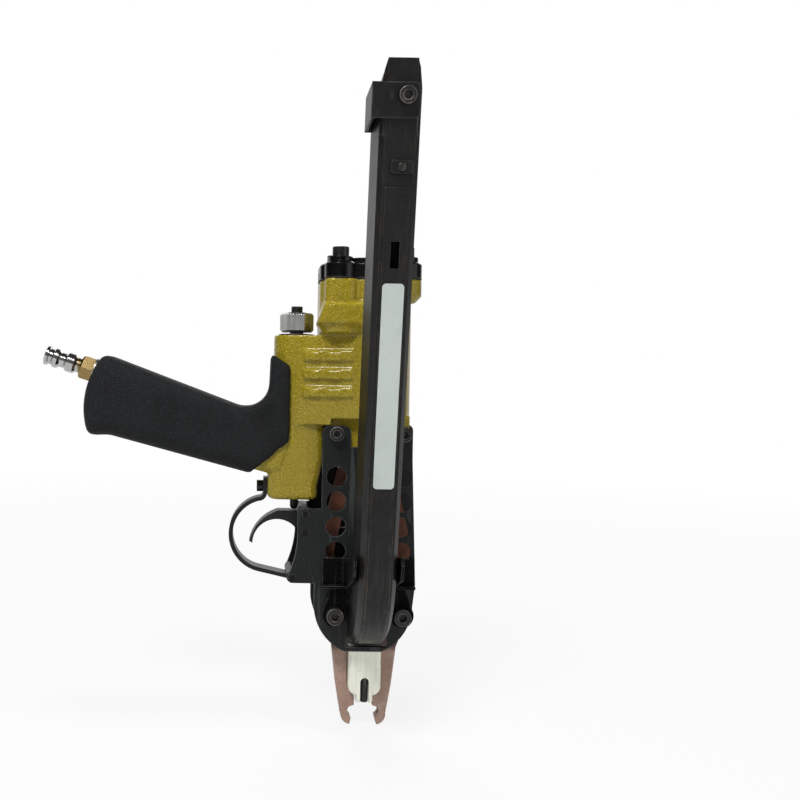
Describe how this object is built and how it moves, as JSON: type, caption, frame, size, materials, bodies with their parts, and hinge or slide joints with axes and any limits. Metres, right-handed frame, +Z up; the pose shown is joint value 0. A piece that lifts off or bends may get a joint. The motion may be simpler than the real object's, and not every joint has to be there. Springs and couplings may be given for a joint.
{
  "type": "pneumatic c-ring plier",
  "caption": "Hand-held air tool that closes C-rings with two hooked jaws, fed from a leaning magazine with a bent lower end; gold body and rubber pistol grip.",
  "frame": {"origin": "point between the jaw hooks where a ring closes, on the tool axis in its middle plane", "axes": "+X to the right with the handle on the left, +Y from front to back, +Z up the tool axis away from the jaws"},
  "size_m": [0.2327, 0.1555, 0.368],
  "materials": {
    "gold_paint": "fine hammered gold paint",
    "grip_rubber": "matt textured rubber",
    "seal_rubber": "smooth rubber",
    "chrome": "polished plating",
    "bright_steel": "turned steel",
    "bronze": "turned bronze",
    "bare_aluminium": "machined aluminium",
    "cap_black": "gloss black paint",
    "black_screws": "black oxide",
    "plate_black": "phosphated black, worn edges",
    "jaw_copper": "copper brown heat treated steel",
    "zinc_guide": "zinc plating",
    "magazine_black": "satin black",
    "trigger_black": "satin black",
    "bare_label": "bare pale label film"
  },
  "bodies": {
    "frame": {"body_casting": "gold_paint", "handle_grip": "grip_rubber", "bottom_bumper": "seal_rubber", "top_bumper": "seal_rubber", "cap_gasket": "seal_rubber", "rod_seal": "seal_rubber", "air_plug": "chrome", "inlet_bush": "bright_steel", "exhaust_deflector": "bright_steel", "exhaust_washer": "bright_steel", "guide_finger": "bright_steel", "jaw_spring": "bright_steel", "valve_spring": "bright_steel", "feed_spring": "bright_steel", "pivot_sleeves": "bright_steel", "pivot_spacers": "bright_steel", "cylinder_liner": "bright_steel", "rod_bush": "bronze", "valve_sleeve": "bronze", "magazine_rail": "bare_aluminium", "cylinder_cap": "cap_black", "cap_bolts": "black_screws", "plate_bolts": "black_screws", "pivot_bolts": "black_screws", "pivot_nuts": "black_screws", "clip_bolt": "black_screws", "guard_screw": "black_screws", "exhaust_screw": "black_screws", "exhaust_stud": "black_screws", "pad_rivet": "black_screws", "trigger_pins": "black_screws", "guard_pin": "black_screws", "front_plate": "plate_black", "rear_plate": "plate_black", "magazine_bracket": "plate_black", "ring_guide": "zinc_guide", "rear_guide": "zinc_guide", "magazine_channel": "magazine_black", "magazine_clip": "magazine_black", "rail_pad": "magazine_black", "trigger_guard": "trigger_black", "label_plate": "bare_label"},
    "piston": {"piston": "bare_aluminium", "piston_seal": "seal_rubber", "piston_rod": "bright_steel", "wedge": "bright_steel", "driver_blade": "bright_steel", "blade_cross_pin": "bright_steel"},
    "left_jaw": {"left_jaw": "jaw_copper", "left_roller_pin": "bright_steel", "left_spring_post": "bright_steel"},
    "left_roller": {"left_roller": "bright_steel"},
    "right_jaw": {"right_jaw": "jaw_copper", "right_roller_pin": "bright_steel", "right_spring_post": "bright_steel"},
    "right_roller": {"right_roller": "bright_steel"},
    "trigger": {"trigger": "trigger_black"},
    "valve_stem": {"valve_stem": "bright_steel"},
    "pusher": {"magazine_pusher": "magazine_black"}
  },
  "joints": [
    {"name": "piston_slide", "type": "slide", "parent": "frame", "child": "piston", "axis": [0, 0, -1], "range_m": [0, 0.03], "stiffness_N_per_m": 200, "springref_m": -0.04, "deforming": ["jaw_spring"]},
    {"name": "left_jaw_pivot", "type": "hinge", "parent": "frame", "child": "left_jaw", "pos_m": [-0.02, 0, 0.061], "axis": [0, 1, 0], "range_deg": [-5.2, 0], "deforming": ["jaw_spring"]},
    {"name": "right_jaw_pivot", "type": "hinge", "parent": "frame", "child": "right_jaw", "pos_m": [0.02, 0, 0.061], "axis": [0, 1, 0], "range_deg": [0, 5.2], "deforming": ["jaw_spring"]},
    {"name": "left_roller_spin", "type": "hinge", "parent": "left_jaw", "child": "left_roller", "pos_m": [-0.0124, 0, 0.148], "axis": [0, 1, 0], "continuous": true},
    {"name": "right_roller_spin", "type": "hinge", "parent": "right_jaw", "child": "right_roller", "pos_m": [0.0124, 0, 0.148], "axis": [0, 1, 0], "continuous": true},
    {"name": "trigger_pull", "type": "hinge", "parent": "frame", "child": "trigger", "pos_m": [-0.0381, 0, 0.1202], "axis": [0, 1, 0], "range_deg": [0, 12], "stiffness_Nm_per_rad": 0.4, "springref_deg": -5.73},
    {"name": "valve_stem_slide", "type": "slide", "parent": "frame", "child": "valve_stem", "axis": [0, 0, 1], "range_m": [0, 0.0014], "deforming": ["valve_spring"]},
    {"name": "pusher_slide", "type": "slide", "parent": "frame", "child": "pusher", "axis": [0, -0.2147, 0.9767], "range_m": [0, 0.172], "stiffness_N_per_m": 20, "springref_m": -0.4, "deforming": ["feed_spring"]}
  ],
  "couplings": [
    {"joint": "left_jaw_pivot", "follows": "piston_slide", "rad_per_m": -3.0252},
    {"joint": "right_jaw_pivot", "follows": "piston_slide", "rad_per_m": 3.0252},
    {"joint": "valve_stem_slide", "follows": "trigger_pull", "m_per_rad": 0.00663}
  ]
}
